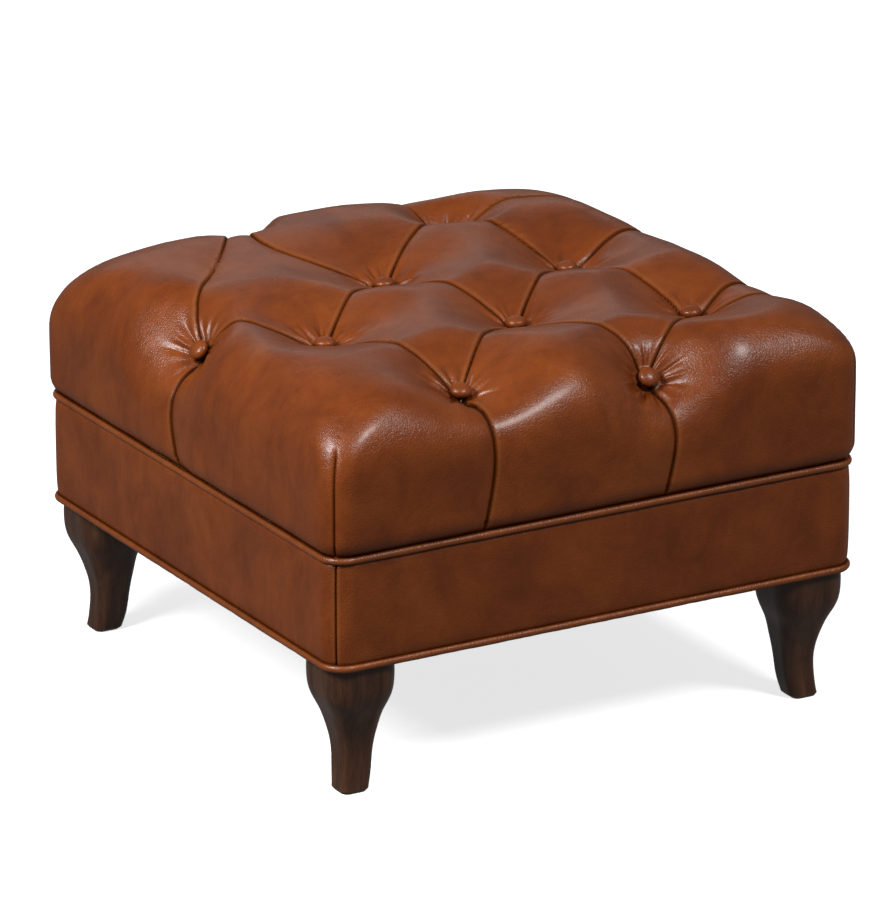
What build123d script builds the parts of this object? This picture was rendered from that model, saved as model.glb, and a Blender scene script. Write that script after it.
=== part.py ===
from build123d import *
from math import asin, cos, degrees, radians, sin, sqrt
import os

# Square deep-buttoned leather ottoman on four cabriole legs. Millimetres, +Z up.
# The origin is on the floor under the middle. -Y is the front, -X is the left.

# Body
side_half = 305.0              # middle to the leather at the piping creases
side_corner_radius = 23.0
leg_height = 141.0
rail_height = 109.0
rail_thickness = 22.0
deck_thickness = 12.0
band_depth = 7.0               # leather and padding outside the rails, at the creases
fit_gap = 0.1                  # between a hole or recess and what sits in it
seam_gap = 0.3                 # between two panels that meet at a seam
overrun = 20.0                 # how far a cutting shape runs past what it cuts

# Cushion
cushion_rise = 160.0           # deck top to the top of the crown
side_swell = 7.0               # how far the side swells past the piping crease
swell_rise = 20.0              # deck top to the widest line of the side
crown_fall = 2.0               # middle of the crown down to where the edge rounds off
edge_radius = 86.0             # roll from the crown down into the side
edge_overlap = 1.0             # how far outside the side that roll starts
cover_thickness = 1.5
wadding_thickness = 11.0
crease_tuck = 4.8              # how far leather is drawn in at its hidden edges
dart_rise = 115.0              # deck top to the end of the sewn corner dart
dart_depth = 0.9
dart_width = 2.4

# Buttons, wells and pleats
button_radius = 11.0
button_rim = 2.0               # height of the button's straight rim
button_height = 7.0
well_gap = 1.5                 # between a button and the leather round it
well_reach = 91.0              # radius over which the leather is drawn down
well_depth = 23.5              # crest of the leather down to a button's top
pleat_depth = 9.0
pleat_half_width = 15.0
side_pleat_depth = 6.0
side_pleat_half_width = 12.0
pleat_sink = 6.0               # crest down to a pleat's fold, midway between buttons
pleat_foot = 4.0               # how far over the button's foot a fold starts
side_pleat_rise = 5.0          # bow of a fold from a button to the rounded edge

# Covered button hardware
back_radius = 7.0
back_thickness = 1.0
eye_radius = 3.0               # ring under a button, to the middle of its wire
eye_wire = 0.7                 # radius of that wire
twine_radius = 0.8
toggle_radius = 2.5
toggle_length = 24.0
tuft_hole_radius = 5.0

# Piping and band
piping_radius = 4.0
piping_leather = 1.2
piping_flange = 2.4
band_leather = 1.5
band_swell = 2.6
tack_strip_height = 12.0
tack_strip_thickness = 1.2

# Frame joints
dowel_radius = 4.0
dowel_length = 40.0
dowel_seat = 14.0              # depth in the front or back rail
block_leg = 90.0               # corner block along each rail
block_height = 35.0
stretcher_height = 60.0
screw_shank = 2.0              # radii of a wood screw
screw_head = 4.0
deck_screw_length = 38.0
block_screw_length = 40.0
stretcher_screw_length = 50.0

# Legs
foot_inset = 39.4              # side crease to a foot's centre, along X and along Y
knee_width = 77.0              # widest section, square with rounded corners
foot_edge = 3.0                # bevel round the sole
bolt_radius = 4.0
bolt_in_leg = 38.0
tee_flange_radius = 9.5
tee_flange_thickness = 1.5
tee_barrel_radius = 5.2
tee_barrel_length = 12.0

# Dust cover
dust_thickness = 0.8
dust_margin = 6.0              # rail's outer face to the cloth's edge
leg_clearance = 1.5
staple_width = 10.0
staple_wire = 1.0
staple_depth = 8.0
staples_per_side = 6
staple_pitch = 76.0

# Places worked out from the sizes above
frame_half = side_half - band_depth
frame_corner = side_corner_radius - band_depth
rail_inner = frame_half - rail_thickness
rail_middle = frame_half - rail_thickness / 2
rail_top = leg_height + rail_height
deck_top = rail_top + deck_thickness
crown_height = deck_top + cushion_rise
foot_reach = side_half - foot_inset
lower_piping_z = leg_height + piping_radius
upper_piping_z = deck_top - piping_radius
cover_foot = upper_piping_z + piping_flange / 2
swell_half = side_half + side_swell
swell_z = deck_top + swell_rise
band_low = lower_piping_z + piping_flange / 2
band_high = upper_piping_z - piping_flange / 2
tack_high = band_high - crease_tuck / 2
tack_low = tack_high - tack_strip_height
corner_centre = side_half - side_corner_radius
edge_centre = swell_half - edge_radius
edge_centre_z = crown_height - crown_fall - edge_radius

# Leg sections from the floor up: height, width and outward lean of the centre,
# as shares of leg_height, knee_width and knee_width
leg_shares = [
    (0.00, 0.422, 0.000),
    (0.085, 0.434, -0.045),
    (0.21, 0.457, -0.084),
    (0.36, 0.503, -0.100),
    (0.47, 0.587, -0.094),
    (0.57, 0.685, -0.078),
    (0.66, 0.817, -0.065),
    (0.74, 0.932, -0.056),
    (0.84, 0.992, -0.052),
    (0.92, 1.000, -0.052),
    (1.00, 0.963, -0.052),
]
leg_round_share = 0.3          # corner radius of a leg's section over its width
leg_corners = {"back_right": 0, "back_left": 90, "front_left": 180, "front_right": 270}

# Cushion side below its widest line: height over the cover's foot as a share of
# the height up to that line, and how much of the draw-in is left there
foot_shares = [(0.0, 1.0), (0.16, 0.80), (0.42, 0.35), (0.70, 0.08)]

# Bounds of the cushion's rounded corners, seen in section along a diagonal: reach
# as a share of the widest reach, and height as a share of the edge's rise
corner_shares = [(1.01, 0.0), (0.905, 0.72), (0.70, 1.03)]

# Buttons: X and Y as shares of side_half, and drop below the crown as a share of
# cushion_rise
button_shares = {
    1: (-0.889, 0.144, 0.281),
    2: (-0.557, -0.154, 0.159),
    3: (-0.400, -0.787, 0.172),
    4: (0.266, -0.879, 0.2625),
    5: (0.092, -0.298, 0.147),
    6: (-0.082, 0.289, 0.147),
    7: (-0.325, 0.859, 0.244),
    8: (0.403, 0.700, 0.159),
    9: (0.559, 0.154, 0.1625),
    10: (0.666, -0.479, 0.159),
}
# Buttons that face out over the rounded edge: the side, and degrees from straight up
button_leans = {1: ("left", 46), 3: ("front", 14), 4: ("front", 42), 7: ("back", 36)}

# Pleats from button to button
button_pleats = [(1, 7), (1, 2), (2, 6), (2, 3), (3, 5), (5, 4), (4, 10),
                 (5, 6), (5, 9), (6, 7), (6, 8), (8, 9), (9, 10)]
# Pleats from a button over the edge to the piping: the button, the side, and where
# the pleat meets the piping along that side, as a share of side_half
side_pleat_shares = [(3, "front", -0.41), (4, "front", 0.27), (1, "left", 0.10),
                     (10, "right", -0.34), (10, "right", -0.62), (9, "right", 0.30),
                     (8, "right", 0.62), (8, "back", 0.20), (7, "back", -0.30)]
groove_knee_shares = (0.38, 0.72)  # bulge of a pleat's wall, over its width and height
groove_height_share = 1.5          # of a pleat's depth, from its fold to its rim
edge_start_share = 0.45            # where a side pleat joins the rounded edge's turn

sides = {"right": 0, "back": 90, "left": 180, "front": 270}

# Places along a rail, as shares of side_half
deck_screw_shares = [-0.75, -0.33, 0.33, 0.75]
dowel_height_shares = [0.27, 0.73]         # of rail_height
block_screw_height_shares = [0.28, 0.72]   # of block_height
block_screw_share = 0.67                   # of block_leg, from the corner
stretcher_screw_shares = [0.25, 0.75]      # of stretcher_height

# Band sections: height over its lower edge as a share of its height, and how much
# of the way in from its fullest line to its hidden edge
band_shares = [(0.0, 1.0), (0.04, 0.57), (0.11, 0.27), (0.27, 0.09), (0.5, 0.0),
               (0.73, 0.09), (0.89, 0.27), (0.96, 0.57), (1.0, 1.0)]

os.makedirs("parts", exist_ok=True)


def write(name, shape):
    """Save one sub-part under its node's name."""
    shape.label = name
    export_step(shape, f"parts/{name}.step")


def group(solids):
    """Separate solids that share one node."""
    return Compound(children=[solid for part in solids for solid in part.solids()])


def turned(shape, angle):
    """Copy of a shape turned about the upright middle axis."""
    return Rot(0, 0, angle) * shape


def rounded_square(half, radius, z):
    """Flat rounded square about the middle, at a height."""
    return Pos(0, 0, z) * RectangleRounded(2 * half, 2 * half, radius)


def slab(half, radius, low, high):
    """Upright slab with a rounded square plan."""
    return extrude(rounded_square(half, radius, low), amount=high - low)


def rod(radius, start, end):
    """Round bar between two points."""
    plane = Plane(origin=start, z_dir=end - start)
    return extrude(plane * Circle(radius), amount=(end - start).length)


def side_wedge(gap):
    """Quarter of the plan that belongs to the right side, short of its seams."""
    reach = side_half + overrun
    near = gap / sqrt(2)
    plan = make_face(Polyline((near, 0), (reach + near, -reach), (reach + near, reach), (near, 0)))
    return extrude(plan, amount=crown_height)


# Screws

def screw(length, grow=0):
    """Countersunk wood screw with its head's flat top at the origin, pointing down."""
    head = screw_head + grow
    shank = screw_shank + grow
    with BuildPart() as body:
        with BuildSketch(Plane.XZ):
            Polygon((0, 0), (head, 0), (shank, shank - head), (shank, -length + shank),
                    (0, -length), align=None)
        revolve(axis=Axis.Z)
    return body.part


def driven(shape, point, direction):
    """Place a downward screw or its hole so that it points along a direction."""
    return Plane(origin=point, z_dir=-direction).location * shape


def deck_screw_places(side):
    """Heads of the screws that hold the deck to one rail."""
    along = [share * side_half for share in deck_screw_shares]
    return [turned(Pos(rail_middle, y, deck_top), sides[side]) for y in along]


def stretcher_screw_places():
    """Points on the front and back rails' outer faces, with their directions."""
    low = rail_top - stretcher_height
    for share in stretcher_screw_shares:
        z = low + share * stretcher_height
        yield Vector(0, -frame_half, z), Vector(0, 1, 0)
        yield Vector(0, frame_half, z), Vector(0, -1, 0)


def block_screw_places():
    """Screw heads inside the back right corner block, with their directions."""
    offset = block_screw_share * block_leg
    head = rail_inner - block_leg + offset + screw_head
    for share in block_screw_height_shares:
        z = leg_height + share * block_height
        yield Vector(head, rail_inner - offset, z), Vector(1, 0, 0)
        yield Vector(rail_inner - offset, head, z), Vector(0, 1, 0)


# Frame

def dowel_places():
    """Start and end of the dowels at the back right corner, along Y."""
    for share in dowel_height_shares:
        z = leg_height + share * rail_height
        outer = Vector(rail_middle, rail_inner + dowel_seat, z)
        yield outer - Vector(0, dowel_length, 0), outer


def dowel_holes():
    """All dowel holes, a little longer and wider than the dowels."""
    slack = Vector(0, fit_gap, 0)
    holes = []
    for low, high in dowel_places():
        for x_sign in (-1, 1):
            for y_sign in (-1, 1):
                start = Vector(x_sign * low.X, y_sign * (low.Y - slack.Y), low.Z)
                end = Vector(x_sign * high.X, y_sign * (high.Y + slack.Y), high.Z)
                holes.append(rod(dowel_radius + fit_gap, start, end))
    return holes


def rail_dowels():
    """Two dowels across each corner joint."""
    pins = []
    for low, high in dowel_places():
        for x_sign in (-1, 1):
            for y_sign in (-1, 1):
                start = Vector(x_sign * low.X, y_sign * low.Y, low.Z)
                end = Vector(x_sign * high.X, y_sign * high.Y, high.Z)
                pins.append(rod(dowel_radius, start, end))
    return group(pins)


def frame_holes():
    """Everything that is drilled or pressed into the rails."""
    holes = dowel_holes() + staples(fit_gap)
    for side in sides:
        for place in deck_screw_places(side):
            holes.append(place * screw(deck_screw_length, fit_gap))
    for point, direction in stretcher_screw_places():
        holes.append(driven(screw(stretcher_screw_length, fit_gap), point, direction))
    for corner in leg_corners.values():
        for point, direction in block_screw_places():
            hole = driven(screw(block_screw_length, fit_gap), point, direction)
            holes.append(turned(hole, corner))
    return holes


def rails():
    """Four rails: the front and back ones run through, the side ones butt between."""
    outer = slab(frame_half, frame_corner, leg_height, rail_top)
    middle = (leg_height + rail_top) / 2
    opening = Pos(0, 0, middle) * Box(2 * rail_inner, 2 * rail_inner, rail_height + overrun)
    ring = outer - opening
    span = Pos(0, 0, middle) * Box(2 * side_half, 2 * rail_inner, rail_height + overrun)
    drilled = ring - frame_holes()
    names = {}
    for solid in (drilled & span).solids():
        names["right" if solid.center().X > 0 else "left"] = solid
    for solid in (drilled - span).solids():
        names["back" if solid.center().Y > 0 else "front"] = solid
    return names


def corner_block():
    """Glued triangular block in the back right corner, bored for the leg's bolt."""
    start = rail_inner - block_leg
    plan = Polygon((rail_inner, rail_inner), (start, rail_inner), (rail_inner, start), align=None)
    block = extrude(Pos(0, 0, leg_height) * plan, amount=block_height)
    top = leg_height + block_height
    axis = bolt_axis()
    tools = [
        rod(bolt_radius + fit_gap, axis(leg_height - overrun), axis(top + overrun)),
        rod(tee_barrel_radius + fit_gap, axis(top - tee_barrel_length), axis(top + overrun)),
    ]
    for point, direction in block_screw_places():
        tools.append(driven(screw(block_screw_length, fit_gap), point, direction))
        tools.append(rod(screw_head + fit_gap, point - direction * overrun, point))
    return block - tools


def corner_block_screws():
    """Screws through each corner block into its two rails."""
    screws = []
    for corner in leg_corners.values():
        for point, direction in block_screw_places():
            screws.append(turned(driven(screw(block_screw_length), point, direction), corner))
    return group(screws)


def centre_stretcher():
    """Cross rail under the deck, from the front rail to the back rail."""
    z = rail_top - stretcher_height / 2
    bar = Pos(0, 0, z) * Box(rail_thickness, 2 * rail_inner, stretcher_height)
    holes = [driven(screw(stretcher_screw_length, fit_gap), point, direction)
             for point, direction in stretcher_screw_places()]
    return bar - holes


def deck_board():
    """Plywood board under the cushion, with a hole for each button's twine."""
    board = slab(frame_half, frame_corner, rail_top, deck_top)
    tools = [tuft_hole(number, tuft_hole_radius) for number in button_shares]
    for side in sides:
        for place in deck_screw_places(side):
            tools.append(place * screw(deck_screw_length, fit_gap))
    return board - tools


# Legs

def bolt_axis():
    """Point on the back right leg's bolt axis, as a function of height."""
    reach = foot_reach + leg_shares[-1][2] * knee_width / sqrt(2)
    return lambda z: Vector(reach, reach, z)


def leg():
    """Back right leg, a loft through rounded squares that lean inwards, then out."""
    faces = []
    for height_share, width_share, lean_share in leg_shares:
        width = width_share * knee_width
        reach = foot_reach + lean_share * knee_width / sqrt(2)
        place = Pos(reach, reach, height_share * leg_height)
        faces.append(place * RectangleRounded(width, width, leg_round_share * width))
    body = loft(faces)
    body = chamfer(body.edges().group_by(Axis.Z)[0], foot_edge)
    axis = bolt_axis()
    return body - rod(bolt_radius + fit_gap, axis(leg_height - bolt_in_leg - fit_gap),
                      axis(leg_height + overrun))


def hanger_bolt():
    """Bolt from the back right leg up through its corner block."""
    axis = bolt_axis()
    top = leg_height + block_height + tee_flange_thickness
    return rod(bolt_radius, axis(leg_height - bolt_in_leg), axis(top))


def tee_nut():
    """Flanged nut let into the top of the back right corner block."""
    axis = bolt_axis()
    seat = leg_height + block_height
    flange = rod(tee_flange_radius, axis(seat), axis(seat + tee_flange_thickness))
    barrel = rod(tee_barrel_radius, axis(seat - tee_barrel_length + fit_gap), axis(seat))
    bore = rod(bolt_radius + fit_gap, axis(leg_height), axis(seat + overrun))
    return flange + barrel - bore


# Cushion

def edge_section(inset):
    """Section of the cushion across its middle: straight sides, rolled edges, crown."""
    half = swell_half + edge_overlap - inset
    top = crown_height - inset
    with BuildSketch(Plane.XZ) as section:
        with BuildLine():
            Polyline((-half, top - crown_fall), (-half, cover_foot - overrun),
                     (half, cover_foot - overrun), (half, top - crown_fall))
            ThreePointArc((half, top - crown_fall), (0, top), (-half, top - crown_fall))
        make_face()
        shoulders = section.vertices().group_by(Axis.Z)[-1]
        fillet(shoulders, edge_radius + edge_overlap - inset)
    return section.sketch


def corner_bound(inset):
    """Turned shape that rounds the four corners of the cushion's upper edge."""
    widest = swell_half * sqrt(2) - (swell_half - corner_centre) * (sqrt(2) - 1)
    points = [(reach_share * widest - inset, edge_centre_z + rise_share * edge_radius - inset)
              for reach_share, rise_share in corner_shares]
    low = cover_foot - overrun
    high = crown_height + overrun
    with BuildPart() as body:
        with BuildSketch(Plane.XZ):
            with BuildLine():
                ThreePointArc(*points)
                Polyline(points[-1], (points[-1][0], high), (0, high), (0, low),
                         (points[0][0], low), points[0])
            make_face()
        revolve(axis=Axis.Z)
    return body.part


def cushion_hull(inset):
    """Cushion without its buttoning, drawn in all round by an inset."""
    drawn = swell_half - (side_half - crease_tuck)
    places = [(swell_half - draw_share * drawn, cover_foot + rise_share * (swell_z - cover_foot))
              for rise_share, draw_share in foot_shares]
    places += [(swell_half, swell_z), (swell_half, crown_height)]
    faces = [rounded_square(half - inset, half - inset - corner_centre, z) for half, z in places]
    sleeve = loft(faces, ruled=True)
    along_y = extrude(edge_section(inset), amount=swell_half + overrun, both=True)
    return sleeve & along_y & turned(along_y, 90) & corner_bound(inset)


def button_plane(number):
    """Plane on a button's top, facing out of the leather, with a level X axis."""
    x_share, y_share, drop_share = button_shares[number]
    z = crown_height - drop_share * cushion_rise
    side, lean = button_leans.get(number, ("front", 0))
    out = Vector(1, 0, 0).rotate(Axis.Z, sides[side])
    facing = out * sin(radians(lean)) + Vector(0, 0, cos(radians(lean)))
    return Plane(origin=(x_share * side_half, y_share * side_half, z),
                 x_dir=Vector(0, 0, 1).cross(out), z_dir=facing)


def fold_foot(number):
    """Point on a button's axis where the folds that reach it start."""
    plane = button_plane(number)
    return plane.origin + plane.z_dir * (pleat_foot - button_height)


def well_height(share):
    """Height of a well's wall over its button's top, from the button to the rim."""
    rise_share = 0.5 * share + 2 * share ** 2 - 1.5 * share ** 3
    return (well_depth + button_height) * rise_share - button_height


def well(number, grow):
    """Space that one button draws down, turned about the button's axis."""
    inner = button_radius + well_gap + grow
    wall = [(inner + share * (well_reach - inner), well_height(share) - grow)
            for share in (0, 0.25, 0.5, 0.75, 1)]
    rim = wall[-1]
    lip = (rim[0] + well_depth, rim[1] + well_depth)
    with BuildPart() as body:
        with BuildSketch(Plane.XZ):
            with BuildLine():
                Line((0, wall[0][1]), wall[0])
                ThreePointArc(*wall[:3])
                ThreePointArc(*wall[2:])
                Polyline(rim, lip, (0, lip[1]), (0, wall[0][1]))
            make_face()
        revolve(axis=Axis.Z)
    return button_plane(number).location * body.part


def groove_face(plane, radius, half_width, depth, grow):
    """Section of a pleat: two bulging walls that meet in a fold at a radius."""
    wide = half_width + grow
    high = groove_height_share * depth + grow
    fold = radius - grow
    knee = (groove_knee_shares[0] * wide, fold + groove_knee_shares[1] * high)
    rim = fold + high
    top = rim + overrun
    with BuildSketch(plane) as section:
        with BuildLine():
            ThreePointArc((0, fold), knee, (wide, rim))
            Polyline((wide, rim), (wide, top), (-wide, top), (-wide, rim))
            ThreePointArc((-wide, rim), (-knee[0], knee[1]), (0, fold))
        make_face()
    return section.sketch


def bowed_groove(start, end, rise, half_width, depth, grow):
    """Groove whose fold bows upwards from one point to another."""
    chord = end - start
    side = Vector(0, 0, 1).cross(chord).normalized()
    normal = chord.cross(side).normalized()
    radius = (chord.length ** 2 / 4 + rise ** 2) / (2 * rise)
    centre = (start + end) / 2 + normal * (rise - radius)
    spoke = (start - centre).normalized()
    plane = Plane(origin=centre, x_dir=side, z_dir=side.cross(spoke))
    sweep_angle = 2 * degrees(asin(chord.length / 2 / radius))
    face = groove_face(plane, radius, half_width, depth, grow)
    return revolve(face, axis=Axis(centre, side), revolution_arc=sweep_angle)


def button_pleat(first, second, grow):
    """Groove between two buttons."""
    start = fold_foot(first)
    end = fold_foot(second)
    rise = crown_height - crown_fall - pleat_sink - (start.Z + end.Z) / 2
    return bowed_groove(start, end, rise, pleat_half_width, pleat_depth, grow)


def side_pleat(number, side, end_share, grow):
    """Groove from a button over the rounded edge and down the side to the piping."""
    out = Vector(1, 0, 0).rotate(Axis.Z, sides[side])
    tangent = Vector(abs(out.Y), abs(out.X), 0)
    aside = tangent * (end_share * side_half)
    fold = edge_radius - side_pleat_depth
    angle = 90 * edge_start_share
    lean = button_leans.get(number, (side, 0))[1]
    on_edge = lean > angle / 2
    if on_edge:
        angle = lean
    centre = out * edge_centre + aside + Vector(0, 0, edge_centre_z)
    spoke = out * sin(radians(angle)) + Vector(0, 0, cos(radians(angle)))
    cross = Vector(0, 0, 1).cross(out)
    plane = Plane(origin=centre, x_dir=cross, z_dir=cross.cross(spoke))
    face = groove_face(plane, fold, side_pleat_half_width, side_pleat_depth, grow)
    over_edge = revolve(face, axis=Axis(centre, cross), revolution_arc=90 - angle)
    plane = Plane(origin=centre, x_dir=cross, z_dir=(0, 0, -1))
    face = groove_face(plane, fold, side_pleat_half_width, side_pleat_depth, grow)
    down_side = extrude(face, amount=edge_centre_z - cover_foot + overrun)
    if on_edge:
        return [over_edge, down_side]
    in_top = bowed_groove(fold_foot(number), centre + spoke * fold, side_pleat_rise,
                          side_pleat_half_width, side_pleat_depth, grow)
    return [in_top, over_edge, down_side]


def tuft_hole(number, radius):
    """Hole for one button's twine, through the deck and the whole cushion."""
    plane = button_plane(number)
    length = (plane.origin.Z - rail_top + overrun) / plane.z_dir.Z
    return rod(radius, plane.origin - plane.z_dir * length, plane.origin)


def corner_dart(corner):
    """Narrow sewn seam up one corner of the cushion."""
    reach = swell_half * sqrt(2) - (swell_half - corner_centre) * (sqrt(2) - 1)
    half_width = dart_width / 2 * (overrun + dart_depth) / dart_depth
    plan = Polygon((reach - dart_depth, 0), (reach + overrun, -half_width),
                   (reach + overrun, half_width), align=None)
    cut = extrude(Pos(0, 0, cover_foot) * plan, amount=deck_top + dart_rise - cover_foot)
    return turned(cut, corner + 45)


def buttoned(grow):
    """Outside of the cushion with its wells and pleats, drawn in by a thickness."""
    body = cushion_hull(grow) - [well(number, grow) for number in button_shares]
    body -= [button_pleat(first, second, grow) for first, second in button_pleats]
    grooves = []
    for number, side, end_share in side_pleat_shares:
        grooves += side_pleat(number, side, end_share, grow)
    return body - grooves


def cushion():
    """Leather cover, wadding under it and foam core, one inside the other."""
    eye_holes = [tuft_hole(number, eye_radius + eye_wire + fit_gap) for number in button_shares]
    twine_holes = [tuft_hole(number, tuft_hole_radius) for number in button_shares]
    darts = [corner_dart(corner) for corner in leg_corners.values()]
    lining = buttoned(cover_thickness)
    cover = buttoned(0) - lining - eye_holes - darts
    core_inset = cover_thickness + wadding_thickness
    below = Pos(0, 0, deck_top - overrun / 2) * Box(4 * side_half, 4 * side_half, overrun)
    core = cushion_hull(core_inset) - [well(number, core_inset) for number in button_shares]
    foam = (core & lining) - below - twine_holes
    wadding = lining - core - below - twine_holes
    return cover, wadding, foam


# Buttons

def button(number):
    """Domed cap covered in leather, recessed below for its steel back."""
    dome = button_height - button_rim
    dome_radius = (button_radius ** 2 + dome ** 2) / (2 * dome)
    half_turn = asin(button_radius / dome_radius) / 2
    middle = (dome_radius * sin(half_turn), dome_radius * (cos(half_turn) - 1))
    with BuildPart() as body:
        with BuildSketch(Plane.XZ):
            with BuildLine():
                Polyline((0, 0), (0, -button_height), (button_radius, -button_height),
                         (button_radius, -dome))
                ThreePointArc((button_radius, -dome), middle, (0, 0))
            make_face()
        revolve(axis=Axis.Z)
    foot = Vector(0, 0, -button_height)
    recess = rod(back_radius + fit_gap, foot - Vector(0, 0, back_thickness),
                 foot + Vector(0, 0, back_thickness + fit_gap))
    return button_plane(number).location * (body.part - recess)


def button_back(number):
    """Steel back plate with the ring that holds the twine."""
    foot = Vector(0, 0, -button_height)
    plate = rod(back_radius, foot, foot + Vector(0, 0, back_thickness))
    ring = Pos(foot - Vector(0, 0, eye_radius)) * Rot(90, 0, 0) * Torus(eye_radius, eye_wire)
    return button_plane(number).location * (plate + ring)


def toggle_drop(number):
    """Distance along a button's axis from its top down to the toggle's middle."""
    plane = button_plane(number)
    return (plane.origin.Z - rail_top + toggle_radius) / plane.z_dir.Z


def tufting_twine(number):
    """Loop of twine from a button's ring to the toggle under the deck."""
    bend = toggle_radius + twine_radius + fit_gap
    apex = eye_wire + twine_radius + fit_gap - button_height - 2 * eye_radius
    top = apex - bend
    low = -toggle_drop(number)
    with BuildPart() as loop:
        with BuildLine(Plane.YZ):
            Line((-bend, low), (-bend, top))
            ThreePointArc((-bend, top), (0, apex), (bend, top))
            Line((bend, top), (bend, low))
            ThreePointArc((bend, low), (0, low - bend), (-bend, low))
        with BuildSketch(Plane(origin=(0, -bend, low), z_dir=(0, 0, 1))):
            Circle(twine_radius)
        sweep()
    return button_plane(number).location * loop.part


def twine_toggle(number):
    """Short hardwood pin that the twine pulls up against the deck."""
    middle = Vector(0, 0, -toggle_drop(number))
    reach = Vector(toggle_length / 2, 0, 0)
    return button_plane(number).location * rod(toggle_radius, middle - reach, middle + reach)


# Band and piping

def round_cord(radius, z):
    """Closed round cord along the body's rounded square, at a height."""
    path = rounded_square(side_half, side_corner_radius, z).wire()
    start = Plane(origin=(0, -side_half, z), z_dir=(1, 0, 0))
    return sweep(start * Circle(radius), path=path)


def piping(z):
    """Leather piping with its sewing flange, hollow for its cord."""
    core = piping_radius - piping_leather
    half = side_half - (core + piping_radius) / 2
    low = z - piping_flange / 2
    high = z + piping_flange / 2
    corner = side_corner_radius - (core + piping_radius) / 2
    flange = slab(half, corner, low, high)
    flange -= slab(frame_half + fit_gap, frame_corner + fit_gap, low - overrun, high + overrun)
    return round_cord(piping_radius, z) + flange - round_cord(core, z)


def band_hull(inset):
    """Outside of the padded band, drawn in at both pipings, less an inset."""
    span = band_high - band_low
    faces = []
    for height_share, draw_share in band_shares:
        half = side_half + band_swell - draw_share * (band_swell + crease_tuck) - inset
        radius = half - (side_half - side_corner_radius)
        faces.append(rounded_square(half, radius, band_low + height_share * span))
    return loft(faces, ruled=True)


def band():
    """Leather panels, padding panels and the card strip that lies behind them."""
    rail = slab(frame_half + fit_gap, frame_corner + fit_gap, leg_height, deck_top)
    inside = band_hull(band_leather)
    leather = band_hull(0) - inside
    tack_half = frame_half + fit_gap + tack_strip_thickness
    tack_corner = frame_corner + fit_gap + tack_strip_thickness
    tack_strip = slab(tack_half, tack_corner, tack_low, tack_high) - rail
    filled = slab(side_half, side_corner_radius, band_low + crease_tuck, tack_low)
    padding = (inside & filled) - rail
    wedge = side_wedge(seam_gap)
    panels = {}
    for side, angle in sides.items():
        quarter = turned(wedge, angle)
        panels[side] = (leather & quarter, padding & quarter)
    return panels, tack_strip


# Dust cover

def dust_cover():
    """Black cloth under the frame, cut round the legs."""
    half = frame_half - dust_margin
    cloth = slab(half, frame_corner, leg_height - dust_thickness, leg_height)
    width = leg_shares[-1][1] * knee_width + 2 * leg_clearance
    axis = bolt_axis()(leg_height)
    notch = Pos(axis) * extrude(RectangleRounded(width, width, leg_round_share * width),
                                amount=overrun, both=True)
    return cloth - [turned(notch, corner) for corner in leg_corners.values()] - staples(fit_gap)


def staples(grow):
    """Staples through the dust cover into the rails, or their slots."""
    wire = staple_wire + 2 * grow
    width = staple_width + 2 * grow
    low = leg_height - dust_thickness - staple_wire
    prong = dust_thickness + staple_wire + staple_depth
    crown = Pos(0, 0, low + staple_wire / 2) * Box(wire, width, wire)
    legs = [Pos(0, sign * (staple_width - staple_wire) / 2, low + prong / 2)
            * Box(wire, wire, prong + 2 * grow) for sign in (-1, 1)]
    single = crown + legs
    first = -staple_pitch * (staples_per_side - 1) / 2
    copies = []
    for angle in sides.values():
        for index in range(staples_per_side):
            copies.append(turned(Pos(rail_middle - dust_margin / 2, first + index * staple_pitch, 0)
                                 * single, angle))
    return copies


# All sub-parts, one file each

back_right_leg = leg()
back_right_block = corner_block()
for corner, angle in leg_corners.items():
    write(f"leg_{corner}", turned(back_right_leg, angle))
    write(f"corner_block_{corner}", turned(back_right_block, angle))
write("hanger_bolts", group([turned(hanger_bolt(), angle) for angle in leg_corners.values()]))
write("tee_nuts", group([turned(tee_nut(), angle) for angle in leg_corners.values()]))

for side, rail in rails().items():
    write(f"rail_{side}", rail)
write("rail_dowels", rail_dowels())
write("corner_block_screws", corner_block_screws())
write("centre_stretcher", centre_stretcher())
write("stretcher_screws", group([driven(screw(stretcher_screw_length), point, direction)
                                 for point, direction in stretcher_screw_places()]))
write("deck_board", deck_board())
write("deck_screws", group([place * screw(deck_screw_length)
                            for side in sides for place in deck_screw_places(side)]))

cover, wadding, foam = cushion()
write("cushion_cover", cover)
write("cushion_wadding", wadding)
write("cushion_foam", foam)
for number in button_shares:
    write(f"button_{number}", button(number))
write("button_backs", group([button_back(number) for number in button_shares]))
write("tufting_twines", group([tufting_twine(number) for number in button_shares]))
write("twine_toggles", group([twine_toggle(number) for number in button_shares]))

for place_name, z in (("upper", upper_piping_z), ("lower", lower_piping_z)):
    write(f"{place_name}_piping", piping(z))
    write(f"{place_name}_piping_cord", round_cord(piping_radius - piping_leather - fit_gap, z))
panels, tack_strip = band()
for side, (leather, padding) in panels.items():
    write(f"band_leather_{side}", leather)
    write(f"band_padding_{side}", padding)
write("tack_strip", tack_strip)
write("dust_cover", dust_cover())
write("dust_cover_staples", group(staples(0)))
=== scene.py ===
import math
import bmesh
import bpy
import numpy as np
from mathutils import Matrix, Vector
from mathutils.bvhtree import BVHTree


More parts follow.
